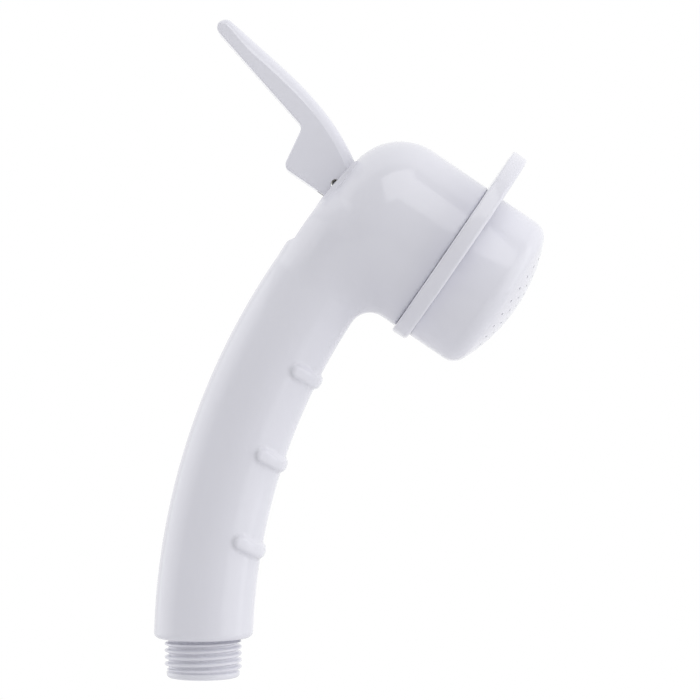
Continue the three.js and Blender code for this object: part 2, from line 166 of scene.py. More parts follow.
def to_head(x, y, z):
    """Row-frame coordinates as height, across, station and distance from the spray axis."""
    dx, dz = x - HEAD_CENTRE.x, z - HEAD_CENTRE.z
    height = dx * UP.x + dz * UP.z
    station = dx * SPRAY.x + dz * SPRAY.z
    return height, y, station, np.hypot(height, y)


class BodySkin:
    """The one moulding of grip and head, with its ribs, well, chamber and bores."""

    rib_angles = [math.radians(a) for a in (10.2, 18.5, 26.9)]
    rib_tilt = math.radians(-30.0)
    rib_depth = 0.0107
    rib_half = 0.00295
    rib_r = 0.00195
    rib_rise = 0.0012
    rib_top_round = 0.0011
    rib_foot_round = 0.0006
    grip_end_round = 0.0014
    grip_top_round = 0.001
    crisp_fillet = 0.0008
    shoulder_r = 0.011
    back_crisp = 0.0001
    back_round = 0.003
    cheek_round = 0.0012
    head_rear = -0.034
    head_round = 0.016
    joint_round = 0.00012
    spigot_rear = -0.006
    spigot_end = 0.0095
    spigot_bore_r = 0.0189
    spigot_ledge = 0.0018
    chamber_r = 0.0182
    chamber_rear = -0.0278
    chamber_round = 0.0102
    chamber_front = 0.02
    boss_r = 0.0074
    boss_rear = -0.0288
    boss_front = -0.017
    boss_bore_r = 0.0052
    boss_bore_front = -0.016
    stem_hole_r = 0.00275
    stem_hole_rear = -0.05
    grip_bore_r = 0.0102
    socket_r = 0.0104
    socket_top = 0.024
    well_middle = 0.00195
    well_reach = 0.00665
    well_half = 0.0053
    past_end = 0.01
    cut_edge = 0.0003

    def __init__(self, grip_r, head_r, throat_r):
        self.grip_r = grip_r
        self.head_r = head_r
        self.throat_r = throat_r

    def ribs(self, x, y, z, body):
        proud = grip_tube(x, y, z, self.grip_r + self.rib_rise)
        reach = GRIP_ARC_R - self.rib_depth
        for angle in self.rib_angles:
            dx = x - (GRIP_ARC_R - reach * math.cos(angle))
            dz = z - (GRIP_ARC_Z + reach * math.sin(angle))
            along = dx * math.cos(self.rib_tilt) + dz * math.sin(self.rib_tilt)
            aside = dz * math.cos(self.rib_tilt) - dx * math.sin(self.rib_tilt)
            past = np.maximum(np.abs(along) - self.rib_half, 0.0)
            pill = np.hypot(past, aside) - self.rib_r
            body = join_round(body, meet_round(proud, pill, self.rib_top_round), self.rib_foot_round)
        return body

    def outer(self, x, y, z):
        height, across, station, r = to_head(x, y, z)
        grip = grip_tube(x, y, z, self.grip_r)
        grip = meet_round(grip, GRIP_END - z, self.grip_end_round)
        grip = meet_round(grip, above_grip_angle(x, z, GRIP_TOP), self.grip_top_round)
        head = bullet(r, station, self.head_r, self.head_rear, self.head_round)
        head = meet_round(head, station + SEAM / 2, self.joint_round)
        forward = smoothstep(-0.031, -0.014, station)
        fillet = self.crisp_fillet + (self.throat_r - self.crisp_fillet) * forward
        shoulder = smoothstep(0.012, 0.030, -station) * smoothstep(-0.003, 0.012, -height)
        fillet = fillet + (self.shoulder_r - fillet) * shoulder
        body = join_round(grip, head, fillet)
        back = np.hypot(GRIP_ARC_R - x, z - GRIP_ARC_Z) - GRIP_ARC_R - self.grip_r
        above_shelf = smoothstep(FACET_LOW, -0.009, height)
        below_crown = smoothstep(-0.012, -0.002, -height)
        body = meet_round(body, back, self.back_crisp + self.back_round * above_shelf * below_crown)
        cheek = meet_round(back, np.abs(across) - CHEEK_HALF, self.cheek_round)
        cheek = np.maximum(cheek, np.maximum(CHEEK_LOW - height, height - CHEEK_HIGH))
        cheek = np.maximum(cheek, station - WELL_FLOOR)
        body = join_round(body, cheek, self.cheek_round)
        body = self.ribs(x, y, z, body)
        return np.minimum(body, drum(r, station, SPIGOT_R, self.spigot_rear, self.spigot_end))

    def __call__(self, x, y, z):
        height, across, station, r = to_head(x, y, z)
        body = self.outer(x, y, z)
        chamber = bullet(r, station, self.chamber_r, self.chamber_rear, self.chamber_round)
        mouth = drum(r, station, self.spigot_bore_r, self.spigot_ledge, self.chamber_front)
        body = np.maximum(body, -np.minimum(chamber, mouth))
        body = np.minimum(body, drum(r, station, self.boss_r, self.boss_rear, self.boss_front))
        bore = grip_tube(x, y, z, self.grip_bore_r)
        bore = np.maximum(bore, above_grip_angle(x, z, GRIP_BORE_TOP))
        body = np.maximum(body, -np.maximum(bore, GRIP_END - self.past_end - z))
        socket = drum(np.hypot(x, y), z, self.socket_r, -self.past_end, self.socket_top)
        body = cut_round(body, socket, self.cut_edge)
        boss_bore = drum(r, station, self.boss_bore_r, self.chamber_rear, self.boss_bore_front)
        body = np.maximum(body, -boss_bore)
        stem_hole = drum(r, station, self.stem_hole_r, self.stem_hole_rear, self.boss_bore_front)
        body = np.maximum(body, -stem_hole)
        shelf = (FACET_LOW - height) * math.sin(SHELF_TILT) + (station - FACET) * math.cos(SHELF_TILT)
        facet = np.maximum(station - FACET, shelf)
        body = cut_round(body, facet, self.cut_edge)
        along_well = np.abs(height - self.well_middle) - self.well_reach
        well = np.maximum(along_well, np.abs(across) - self.well_half)
        return cut_round(body, np.maximum(well, station - WELL_FLOOR), self.cut_edge)


def bezier(points, steps):
    """Points along a cubic curve, without its first."""
    a, b, c, d = (np.array(p) for p in points)
    t = np.linspace(0.0, 1.0, steps + 1)[1:, None]
    return (1 - t) ** 3 * a + 3 * (1 - t) ** 2 * t * b + 3 * (1 - t) * t**2 * c + t**3 * d


def round_stretch(centre, radius, start, end, steps):
    angles = np.radians(np.linspace(start, end, steps + 1))
    return np.stack([centre[0] + radius * np.cos(angles), centre[1] + radius * np.sin(angles)], 1)


def lever_outline():
    """The lever's side view, from its pin: up the head, and outwards from its back."""
    corner = bezier([(-3.2, -3.1), (-3.9, -3.1), (-4.2, -2.8), (-4.2, -2.1)], 5)
    heel = bezier([(-4.2, 12.4), (-4.2, 13.7), (-3.4, 14.4), (-2.0, 14.6)], 8)
    crook = bezier([(6.2, 15.9), (7.3, 16.1), (7.9, 16.7), (8.15, 17.8)], 8)
    tip = round_stretch((18.3, 48.5), 2.3, 167, 0, 16)
    back = bezier([(20.6, 48.5), (17.9, 25.6), (16.6, 12.9), (8.12, -0.71)], 40)
    base = round_stretch((0.0, 0.0), 8.15, -6, -22, 4)
    start = np.array([(-3.2, -3.1)])
    first = np.array([(-4.2, 12.4)])
    step = np.array([(6.2, 15.9)])
    return 0.001 * np.vstack([start, corner, first, heel, step, crook, tip, back, base])


def edge_round(facing_up, out):
    """Rounding of the lever's side edge: wide along its outer face, crisp elsewhere."""
    near_tip = smoothstep(0.038, 0.050, out)
    on_outer_face = smoothstep(-0.3, 0.75, facing_up)
    past_base = smoothstep(-0.0028, -0.0010, out)
    wide = LEVER_OUTER_ROUND + (LEVER_TIP_ROUND - LEVER_OUTER_ROUND) * near_tip
    return LEVER_CRISP_ROUND + (wide - LEVER_CRISP_ROUND) * (on_outer_face * past_base)


# ---- Meshes ----


def mesh_piece(name, verts, faces):
    """A smooth-shaded mesh object at the origin."""
    mesh = bpy.data.meshes.new(name)
    mesh.from_pydata(verts, [], faces)
    mesh.validate()
    mesh.shade_smooth()
    piece = bpy.data.objects.new(name, mesh)
    bpy.context.scene.collection.objects.link(piece)
    return piece


def sharpen(piece, degrees):
    piece.data.set_sharp_from_angle(angle=math.radians(degrees))


CORNERS = [(i, j, k) for i in (0, 1) for j in (0, 1) for k in (0, 1)]
CELL_EDGES = [
    (a, b) for a in CORNERS for b in CORNERS if a < b and sum(abs(p - q) for p, q in zip(a, b)) == 1
]
BOX_FACES = [(0, 1, 3, 2), (4, 6, 7, 5), (0, 4, 5, 1), (2, 3, 7, 6), (0, 2, 6, 4), (1, 5, 7, 3)]


def sample_field(field, axes):
    """The field on the whole grid, one slab at a time."""
    y, z = np.meshgrid(axes[1], axes[2], indexing="ij")
    slabs = [field(np.full(y.shape, x), y, z) for x in axes[0]]
    return np.stack(slabs).astype(np.float32)


def settle(points, field, step):
    """Moves points onto the field's zero surface, by no more than half a step each time."""
    reach = step * 0.02
    for _ in range(3):
        x, y, z = points.T
        slope = np.stack(
            [
                field(x + reach, y, z) - field(x - reach, y, z),
                field(x, y + reach, z) - field(x, y - reach, z),
                field(x, y, z + reach) - field(x, y, z - reach),
            ],
            1,
        ) / (2 * reach)
        size = np.maximum((slope**2).sum(1), 0.2)
        move = -(field(x, y, z) / size)[:, None] * slope
        length = np.linalg.norm(move, axis=1, keepdims=True)
        points = points + move * np.minimum(1.0, 0.4 * step / np.maximum(length, 1e-12))
    return points


def skin_mesh(name, field, low, high, step):
    """A closed quad mesh on the field's zero surface: one point a cell, one face a crossed edge."""
    axes = [np.arange(a - 2 * step, b + 3 * step, step) for a, b in zip(low, high)]
    values = sample_field(field, axes)
    inside = values < 0
    n = np.array(values.shape) - 1
    count = np.zeros(n, np.int8)
    for i, j, k in CORNERS:
        count += inside[i : i + n[0], j : j + n[1], k : k + n[2]]
    cells = np.argwhere((count > 0) & (count < 8))
    total = np.zeros((len(cells), 3))
    hits = np.zeros(len(cells))
    for a, b in CELL_EDGES:
        va = values[tuple((cells + a).T)].astype(float)
        vb = values[tuple((cells + b).T)].astype(float)
        crossed = (va < 0) != (vb < 0)
        t = np.where(crossed, va / np.where(va == vb, 1.0, va - vb), 0.0)
        spot = np.array(a) + t[:, None] * (np.array(b) - np.array(a))
        total += np.where(crossed[:, None], spot, 0.0)
        hits += crossed
    origin = np.array([axis[0] for axis in axes])
    points = origin + (cells + total / hits[:, None]) * step
    number = np.full(n, -1, np.int64)
    number[tuple(cells.T)] = np.arange(len(cells))
    faces = []
    for d in range(3):
        e, f = (d + 1) % 3, (d + 2) % 3
        ahead = [slice(None)] * 3
        ahead[d] = slice(1, None)
        behind = [slice(None)] * 3
        behind[d] = slice(None, -1)
        starts, ends = inside[tuple(behind)], inside[tuple(ahead)]
        for wanted, order in ((starts & ~ends, (0, 1, 2, 3)), (~starts & ends, (3, 2, 1, 0))):
            at = np.argwhere(wanted)
            ring = []
            for de, df in ((-1, -1), (0, -1), (0, 0), (-1, 0)):
                cell = at.copy()
                cell[:, e] += de
                cell[:, f] += df
                ring.append(number[tuple(cell.T)])
            faces.append(np.stack([ring[q] for q in order], 1))
    points = settle(points, field, step)
    return mesh_piece(name, points.tolist(), np.vstack(faces).tolist())


def ring_mesh(name, rows, place, loop=True):
    """Rings of points joined row to row. Each row is an array of (across, up, along)."""
    sides = len(rows[0])
    verts = [tuple(place @ Vector(p)) for row in rows for p in row]
    last = len(rows) if loop else len(rows) - 1
    faces = []
    for i in range(last):
        a, b = i * sides, ((i + 1) % len(rows)) * sides
        for j in range(sides):
            k = (j + 1) % sides
            faces.append((a + j, a + k, b + k, b + j))
    if not loop:
        faces.append(tuple(reversed(range(sides))))
        faces.append(tuple(len(verts) - sides + j for j in range(sides)))
    return mesh_piece(name, verts, faces)


def ring(radius, height, sides, offset=0.0):
    """One ring about local Z. radius may be one number, or one for each point."""
    angles = np.arange(sides) * (2 * math.pi / sides)
    r = np.broadcast_to(radius, angles.shape)
    return np.stack([offset + r * np.cos(angles), r * np.sin(angles), np.full(sides, height)], 1)


def dense_outline(outline, step):
    """The closed outline with long stretches split into short ones."""
    dense = []
    for start, end in zip(outline, np.roll(outline, -1, axis=0)):
        parts = max(1, math.ceil(np.linalg.norm(end - start) / step))
        dense += [start + (end - start) * (i / parts) for i in range(parts)]
    return np.array(dense)


def face_outwards(piece):
    """Turns a closed mesh's faces outwards."""
    shape = bmesh.new()
    shape.from_mesh(piece.data)
    bmesh.ops.recalc_face_normals(shape, faces=shape.faces)
    shape.to_mesh(piece.data)
    shape.free()


def arc_points(centre_r, centre_z, radius, start, end, steps):
    angles = np.radians(np.linspace(start, end, steps + 1))
    return [(centre_r + radius * math.cos(a), centre_z + radius * math.sin(a)) for a in angles]


def plain_copy(piece, name):
    """The piece with its modifiers worked out, as a new plain mesh."""
    graph = bpy.context.evaluated_depsgraph_get()
    mesh = bpy.data.meshes.new_from_object(piece.evaluated_get(graph))
    bpy.data.objects.remove(piece)
    done = bpy.data.objects.new(name, mesh)
    mesh.name = name
    bpy.context.scene.collection.objects.link(done)
    return done


def place_mesh(piece, matrix):
    piece.data.transform(matrix)
    piece.data.update()


# ---- Geometry Nodes ----


def node_tree(name, inputs):
    """An empty tree with a geometry output and named number inputs. Returns it and its sockets."""
    tree = bpy.data.node_groups.new(name, "GeometryNodeTree")
    tree.interface.new_socket("Geometry", in_out="OUTPUT", socket_type="NodeSocketGeometry")
    keys = {}
    for label, default in inputs.items():
        kind = "NodeSocketInt" if isinstance(default, int) else "NodeSocketFloat"
        if isinstance(default, bpy.types.Material):
            kind = "NodeSocketMaterial"
        socket = tree.interface.new_socket(label, in_out="INPUT", socket_type=kind)
        socket.default_value = default
        keys[label] = socket.identifier
    return tree, keys


def run_tree(name, tree, keys, inputs):
    """Runs a tree on an empty mesh and returns the plain result."""
    holder = mesh_piece(name + "_holder", [], [])
    modifier = holder.modifiers.new("Nodes", "NODES")
    modifier.node_group = tree
    for label, value in inputs.items():
        modifier[keys[label]] = value
    return plain_copy(holder, name)


def nozzle_tree(inputs, rings):
    """Rings of drill pins about Z, with six more in each ring than in the one inside it."""
    tree, keys = node_tree("Nozzle drills", inputs)
    nodes, link = tree.nodes, tree.links.new
    given = nodes.new("NodeGroupInput")
    joined = nodes.new("GeometryNodeJoinGeometry")
    centre = nodes.new("GeometryNodeMeshLine")
    centre.inputs["Count"].default_value = 1
    link(centre.outputs["Mesh"], joined.inputs[0])
    for k in range(1, rings + 1):
        circle = nodes.new("GeometryNodeMeshCircle")
        circle.inputs["Vertices"].default_value = 6 * k
        radius = nodes.new("ShaderNodeMath")
        radius.operation = "MULTIPLY"
        radius.inputs[1].default_value = float(k)
        link(given.outputs["Spacing"], radius.inputs[0])
        link(radius.outputs[0], circle.inputs["Radius"])
        link(circle.outputs["Mesh"], joined.inputs[0])
    pin = nodes.new("GeometryNodeMeshCylinder")
    pin.inputs["Vertices"].default_value = 16
    pin.inputs["Depth"].default_value = 0.016
    link(given.outputs["Hole radius"], pin.inputs["Radius"])
    spots = nodes.new("GeometryNodeInstanceOnPoints")
    link(joined.outputs[0], spots.inputs["Points"])
    link(pin.outputs["Mesh"], spots.inputs["Instance"])
    return finish_tree(tree, keys, spots.outputs[0], given)


def spring_tree(inputs):
    """A round wire wound in a helix about Z."""
    tree, keys = node_tree("Stem spring", inputs)
    nodes, link = tree.nodes, tree.links.new
    given = nodes.new("NodeGroupInput")
    helix = nodes.new("GeometryNodeCurveSpiral")
    helix.inputs["Resolution"].default_value = 40
    link(given.outputs["Turns"], helix.inputs["Rotations"])
    link(given.outputs["Radius"], helix.inputs["Start Radius"])
    link(given.outputs["Radius"], helix.inputs["End Radius"])
    link(given.outputs["Length"], helix.inputs["Height"])
    wire = nodes.new("GeometryNodeCurvePrimitiveCircle")
    wire.inputs["Resolution"].default_value = 12
    link(given.outputs["Wire radius"], wire.inputs["Radius"])
    sweep = nodes.new("GeometryNodeCurveToMesh")
    sweep.inputs["Fill Caps"].default_value = True
    link(helix.outputs["Curve"], sweep.inputs["Curve"])
    link(wire.outputs["Curve"], sweep.inputs["Profile Curve"])
    return finish_tree(tree, keys, sweep.outputs["Mesh"], given)


def finish_tree(tree, keys, made, given):
    """Ends a tree in Realize Instances and Set Material."""
    real = tree.nodes.new("GeometryNodeRealizeInstances")
    painted = tree.nodes.new("GeometryNodeSetMaterial")
    out = tree.nodes.new("NodeGroupOutput")
    tree.links.new(made, real.inputs[0])
    tree.links.new(real.outputs[0], painted.inputs["Geometry"])
    tree.links.new(given.outputs["Material"], painted.inputs["Material"])
    tree.links.new(painted.outputs[0], out.inputs[0])
    return tree, keys


# ---- Finishes ----


def node_material(name):
    """A new material with its shader, and the object's own coordinates."""
    material = bpy.data.materials.new(name)
    material.use_nodes = True
    nodes = material.node_tree.nodes
    shader = nodes["Principled BSDF"]
    where = nodes.new("ShaderNodeTexCoord")
    return material, nodes, material.node_tree.links.new, shader, where.outputs["Object"]


def noise(nodes, link, where, scale, detail=2.0):
    texture = nodes.new("ShaderNodeTexNoise")
    texture.inputs["Scale"].default_value = scale
    texture.inputs["Detail"].default_value = detail
    link(where, texture.inputs["Vector"])
    return texture.outputs["Fac"]


def spread(nodes, link, fac, low, high):
    """A number between low and high that follows fac."""
    scale = nodes.new("ShaderNodeMapRange")
    scale.inputs["From Min"].default_value = 0.3
    scale.inputs["From Max"].default_value = 0.7
    scale.inputs["To Min"].default_value = low
    scale.inputs["To Max"].default_value = high
    link(fac, scale.inputs["Value"])
    return scale.outputs["Result"]


def tint(nodes, link, fac, light, dark):
    mix = nodes.new("ShaderNodeMix")
    mix.data_type = "RGBA"
    mix.inputs["A"].default_value = (*light, 1.0)
    mix.inputs["B"].default_value = (*dark, 1.0)
    link(fac, mix.inputs["Factor"])
    return mix.outputs["Result"]


def add_bump(nodes, link, shader, fac, depth, distance):
    bump = nodes.new("ShaderNodeBump")
    bump.inputs["Strength"].default_value = depth
    bump.inputs["Distance"].default_value = distance
    link(fac, bump.inputs["Height"])
    link(bump.outputs["Normal"], shader.inputs["Normal"])


def moulded_white(name, colour, gloss, ripple=0.05):
    """Glossy moulded plastic: a faint flow mottle, uneven polish and a very shallow orange peel."""
    material, nodes, link, shader, where = node_material(name)
    flow = noise(nodes, link, where, 45.0, 3.0)
    darker = tuple(0.965 * c for c in colour)
    link(tint(nodes, link, flow, colour, darker), shader.inputs["Base Color"])
    polish = noise(nodes, link, where, 160.0, 4.0)
    link(spread(nodes, link, polish, gloss - 0.03, gloss + 0.05), shader.inputs["Roughness"])
    add_bump(nodes, link, shader, noise(nodes, link, where, 420.0, 2.0), ripple, 0.0002)
    shader.inputs["IOR"].default_value = 1.5
    return material


def rubber_black(name, colour):
    material, nodes, link, shader, where = node_material(name)
    bloom = noise(nodes, link, where, 300.0, 4.0)
    pale = tuple(c + 0.03 for c in colour)
    link(tint(nodes, link, bloom, colour, pale), shader.inputs["Base Color"])
    link(spread(nodes, link, bloom, 0.55, 0.75), shader.inputs["Roughness"])
    add_bump(nodes, link, shader, noise(nodes, link, where, 1800.0), 0.2, 0.0001)
    return material


def worked_metal(name, colour, rough, stretch):
    """Drawn or turned metal: fine streaks across the object's length, and a little uneven colour."""
    material, nodes, link, shader, where = node_material(name)
    turn = nodes.new("ShaderNodeMapping")
    turn.inputs["Rotation"].default_value = (0.0, HEAD_TILT, 0.0)
    turn.inputs["Scale"].default_value = stretch
    link(where, turn.inputs["Vector"])
    streaks = noise(nodes, link, turn.outputs["Vector"], 500.0, 3.0)
    dull = tuple(0.82 * c for c in colour)
    link(tint(nodes, link, streaks, colour, dull), shader.inputs["Base Color"])
    link(spread(nodes, link, streaks, rough - 0.06, rough + 0.12), shader.inputs["Roughness"])
    add_bump(nodes, link, shader, streaks, 0.1, 0.0001)
    shader.inputs["Metallic"].default_value = 1.0
    return material


def wear(piece, material):
    piece.data.materials.clear()
    piece.data.materials.append(material)


def settled(piece, body, slot, *nodes):
    """Hangs a finished piece on the body it rides on and hides the CAD parts it stands for. The slot, naming
    the finish it takes, is not used.
    """
    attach(piece, body)
    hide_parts(*nodes)


# ---- Settings ----


class ShowerSizes(bpy.types.PropertyGroup):
    grip_r: bpy.props.FloatProperty(
        name="Grip radius", description="Radius of the grip's round section", default=0.0135, unit="LENGTH"
    )
    head_r: bpy.props.FloatProperty(
        name="Head radius",
        description="Radius of the head behind the collar",
        default=0.0225,
        unit="LENGTH",
    )
    throat_r: bpy.props.FloatProperty(
        name="Throat fillet", description="Fillet between grip and head", default=0.0058, unit="LENGTH"
    )
    body_step: bpy.props.FloatProperty(
        name="Body mesh step", description="Spacing of the body's mesh", default=0.00062, unit="LENGTH"
    )
    nozzle_r: bpy.props.FloatProperty(
        name="Nozzle radius",
        description="Radius of each hole in the cup's face",
        default=0.0004,
        unit="LENGTH",
    )
    nozzle_spacing: bpy.props.FloatProperty(
        name="Nozzle spacing", description="Distance between rings of holes", default=0.004, unit="LENGTH"
    )


class ShowerFinish(bpy.types.PropertyGroup):
    white: bpy.props.FloatVectorProperty(
        name="White",
        description="Colour of the moulded plastic",
        subtype="COLOR",
        default=(0.775, 0.775, 0.84),
    )
    rubber: bpy.props.FloatVectorProperty(
        name="Rubber", description="Colour of the seals", subtype="COLOR", default=(0.02, 0.02, 0.022)
    )
    brass: bpy.props.FloatVectorProperty(
        name="Brass", description="Colour of the valve's metal", subtype="COLOR", default=(0.68, 0.47, 0.2)
    )
    steel: bpy.props.FloatVectorProperty(
        name="Steel", description="Colour of the pin and spring", subtype="COLOR", default=(0.30, 0.31, 0.33)
    )
    gloss: bpy.props.FloatProperty(
        name="Gloss roughness",
        description="Roughness of the moulded plastic",
        default=0.11,
        subtype="FACTOR",
    )


def sizes():
    return bpy.context.scene.shower_sizes


def finish():
    return bpy.context.scene.shower_finish


# ---- Operators ----


class SHOWER_OT_body(bpy.types.Operator):
    """Make the grip and head as one smooth moulding"""

    bl_idname = "shower.body"
    bl_label = "Grip and Head"

    def execute(self, context):
        low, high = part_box("handle_body")
        field = BodySkin(sizes().grip_r, sizes().head_r, sizes().throat_r)
        body = skin_mesh("grip_and_head", field, low, high, sizes().body_step)
        wear(body, moulded_white("white_body", tuple(finish().white), finish().gloss))
        settled(body, HOUSING, "white_body", "handle_body")
        return {"FINISHED"}


class SHOWER_OT_lever(bpy.types.Operator):
    """Make the toggle lever"""

    bl_idname = "shower.lever"
    bl_label = "Toggle Lever"

    half = 0.005
    fork_half = 0.0023
    fork_reach = 0.0031
    hole_r = 0.00125
    edge_start = 0.4
    edge_steps = 8
    outline_step = 0.0006
    past_side = 0.02

    def side_rows(self):
        """Copies of the outline from one side to the other, drawn in where the edge is rounded."""
        outline = dense_outline(lever_outline(), self.outline_step)
        ahead, behind = np.roll(outline, -1, axis=0), np.roll(outline, 1, axis=0)
        run = ahead - behind
        run /= np.linalg.norm(run, axis=1, keepdims=True)
        outward = np.stack([-run[:, 1], run[:, 0]], 1)
        radius = edge_round(outward[:, 0], outline[:, 1])
        rows = []
        turns = np.linspace(self.edge_start, math.pi / 2, self.edge_steps + 1)
        for side in (-1.0, 1.0):
            for turn in turns if side < 0 else turns[::-1]:
                drawn = outline - outward * (radius * (1.0 - math.sin(turn)))[:, None]
                across = side * (self.half - radius * (math.cos(self.edge_start) - math.cos(turn)))
                rows.append(np.column_stack([drawn[:, 0], drawn[:, 1], across]))
        return rows

    def cutter(self, name, verts, faces):
        piece = mesh_piece(name, verts, faces)
        piece.data.shade_flat()
        return piece

    def fork_cutter(self):
        reach, half, far = self.fork_reach, self.fork_half, self.past_side
        corners = [(u, w, o) for u in (-far, reach) for w in (-half, half) for o in (-far, reach)]
        verts = [head_point(u, w, PIN_STATION - o) for u, w, o in corners]
        return self.cutter("fork_cutter", verts, BOX_FACES)

    def hole_cutter(self):
        rows = [ring(self.hole_r, z, 32) for z in (-2 * self.half, 2 * self.half)]
        return ring_mesh("hole_cutter", rows, pin_matrix(), loop=False)

    def execute(self, context):
        rows = [[head_point(u, w, PIN_STATION - o) for u, o, w in row] for row in self.side_rows()]
        lever = ring_mesh("lever_blank", rows, Matrix.Identity(4), loop=False)
        face_outwards(lever)
        for cutter in (self.fork_cutter(), self.hole_cutter()):
            face_outwards(cutter)
            cut = lever.modifiers.new("Cut", "BOOLEAN")
            cut.object = cutter
            cut.operation = "DIFFERENCE"
            cut.solver = "EXACT"
            lever = plain_copy(lever, "toggle_lever")
            bpy.data.objects.remove(cutter)
        sharpen(lever, 18)
        wear(lever, moulded_white("white_lever", tuple(1.02 * c for c in finish().white), finish().gloss))
        settled(lever, TOGGLE, "white_lever", "lever")
        return {"FINISHED"}


class SHOWER_OT_nipple(bpy.types.Operator):
    """Make the hose nipple with its pipe thread"""

    bl_idname = "shower.nipple"
    bl_label = "Hose Nipple"

    crest_r = 0.01047
    pitch = 0.001814
    depth = 0.00105
    thread_low = 0.0019
    first_row = 0.00105
    thread_rows = 110
    pilot_r = 0.00995
    pilot_round = 0.0009
    bore_r = 0.0062
    spigot_r = 0.0101
    groove_r = 0.008
    groove_low = 0.0155
    groove_high = 0.018
    top = 0.022
    sides = 144

    def thread_row(self, z):
        """One ring of the helical thread, which fades out at both ends."""
        turns = np.arange(self.sides) / self.sides
        phase = ((z - self.thread_low) / self.pitch - turns) % 1.0
        flank = smoothstep(0.06, 0.36, phase) - smoothstep(0.58, 0.88, phase)
        start = smoothstep(self.thread_low - 0.0002, self.thread_low + 0.0008, z)
        end = 1.0 - smoothstep(GRIP_END - 0.0011, GRIP_END - 0.0003, z)
        root = self.crest_r - self.depth
        onto_root = smoothstep(self.thread_low - 0.0005, self.thread_low, z)
        pilot = self.pilot_r + (root - self.pilot_r) * onto_root
        return ring(pilot + (self.crest_r - pilot) * flank * start * end, z, self.sides)

    def execute(self, context):
        edge = arc_points(self.pilot_r - self.pilot_round, self.pilot_round, self.pilot_round, -90, 0, 6)
        rows = [ring(r, z, self.sides) for r, z in [(self.bore_r, 0.0)] + edge]
        thread = np.linspace(self.first_row, GRIP_END - 0.00005, self.thread_rows)
        rows += [self.thread_row(z) for z in thread]
        spigot = [
            (self.spigot_r, GRIP_END),
            (self.spigot_r, self.groove_low),
            (self.groove_r, self.groove_low),
            (self.groove_r, self.groove_high),
            (self.spigot_r, self.groove_high),
            (self.spigot_r, self.top),
            (self.bore_r, self.top),
        ]
        rows += [ring(r, z, self.sides) for r, z in spigot]
        nipple = ring_mesh("hose_nipple_thread", rows, Matrix.Identity(4))
        sharpen(nipple, 40)
        wear(nipple, moulded_white("white_nipple", tuple(finish().white), finish().gloss + 0.05))
        settled(nipple, HOUSING, "white_nipple", "hose_nipple")
        return {"FINISHED"}


class SHOWER_OT_collar(bpy.types.Operator):
    """Make the off-centre collar plate"""

    bl_idname = "shower.collar"
    bl_label = "Collar"

    radius = 0.0295
    offset = 0.00544
    rear = SEAM / 2
    rear_round = 0.0005
    front_round = 0.0010
    bore = 0.0209
    sides = 192

    def execute(self, context):
        low, high = self.rear_round, self.front_round
        outer = arc_points(self.radius - low, self.rear + low, low, -90, 0, 6)
        outer += arc_points(self.radius - high, COLLAR_FRONT - high, high, 0, 90, 8)
        rows = [ring(self.bore, self.rear, self.sides)]
        rows += [ring(r, z, self.sides, self.offset) for r, z in outer]
        rows.append(ring(self.bore, COLLAR_FRONT, self.sides))
        collar = ring_mesh("collar_plate", rows, head_matrix())
        sharpen(collar, 40)
        wear(collar, moulded_white("white_collar", tuple(finish().white), finish().gloss))
        settled(collar, HOUSING, "white_collar", "collar_ring")
        return {"FINISHED"}


class SHOWER_OT_cup(bpy.types.Operator):
    """Make the spray cup with its domed, drilled face"""

    bl_idname = "shower.cup"
    bl_label = "Spray Cup"

    radius = 0.02235
    bore = 0.0209
    apex = 0.02465
    dome_r = 0.047
    corner_r = 0.005
    rear_round = 0.0002
    wall = 0.0018
    inner_r = 0.017
    ledge_r = 0.0186
    ledge_front = 0.0166
    shoulder = 0.0136
    pole = 89.5
    sides = 160
    nozzle_rings = 4

    def profile(self):
        """Radius and station from the rear edge over the dome and back inside."""
        dome = self.apex - self.dome_r
        corner = self.radius - self.corner_r
        rise = math.sqrt((self.dome_r - self.corner_r) ** 2 - corner**2)
        tangent = math.degrees(math.atan2(rise, corner))
        inner = self.dome_r - self.wall
        inner_edge = math.degrees(math.acos(self.inner_r / inner))
        rear_round = self.rear_round
        points = [(self.bore, CUP_REAR)]
        points += arc_points(self.radius - rear_round, CUP_REAR + rear_round, rear_round, -90, 0, 5)
        points += arc_points(corner, dome + rise, self.corner_r, 0, tangent, 16)
        points += arc_points(0.0, dome, self.dome_r, tangent, self.pole, 28)[1:]
        points += arc_points(0.0, dome, inner, self.pole, inner_edge, 8)
        ledge = [(self.ledge_r, self.ledge_front), (self.ledge_r, self.shoulder)]
        return points + ledge + [(self.bore, self.shoulder)]

    def drill(self, cup, material):
        inputs = {"Spacing": sizes().nozzle_spacing, "Hole radius": sizes().nozzle_r, "Material": material}
        tree, keys = nozzle_tree(inputs, self.nozzle_rings)
        drills = run_tree("nozzle_drills", tree, keys, inputs)
        place_mesh(drills, head_matrix() @ Matrix.Translation((0.0, 0.0, self.apex)))
        cut = cup.modifiers.new("Drill", "BOOLEAN")
        cut.object = drills
        cut.operation = "DIFFERENCE"
        cut.solver = "EXACT"
        drilled = plain_copy(cup, "spray_cup_face")
        bpy.data.objects.remove(drills)
        return drilled

    def execute(self, context):
        rows = [ring(r, z, self.sides) for r, z in self.profile()]
        cup = ring_mesh("cup_blank", rows, head_matrix())
        material = moulded_white("white_cup", tuple(1.01 * c for c in finish().white), finish().gloss)
        wear(cup, material)
        cup = self.drill(cup, material)
        wear(cup, material)
        sharpen(cup, 35)
        settled(cup, HOUSING, "white_cup", "spray_cup")
        return {"FINISHED"}


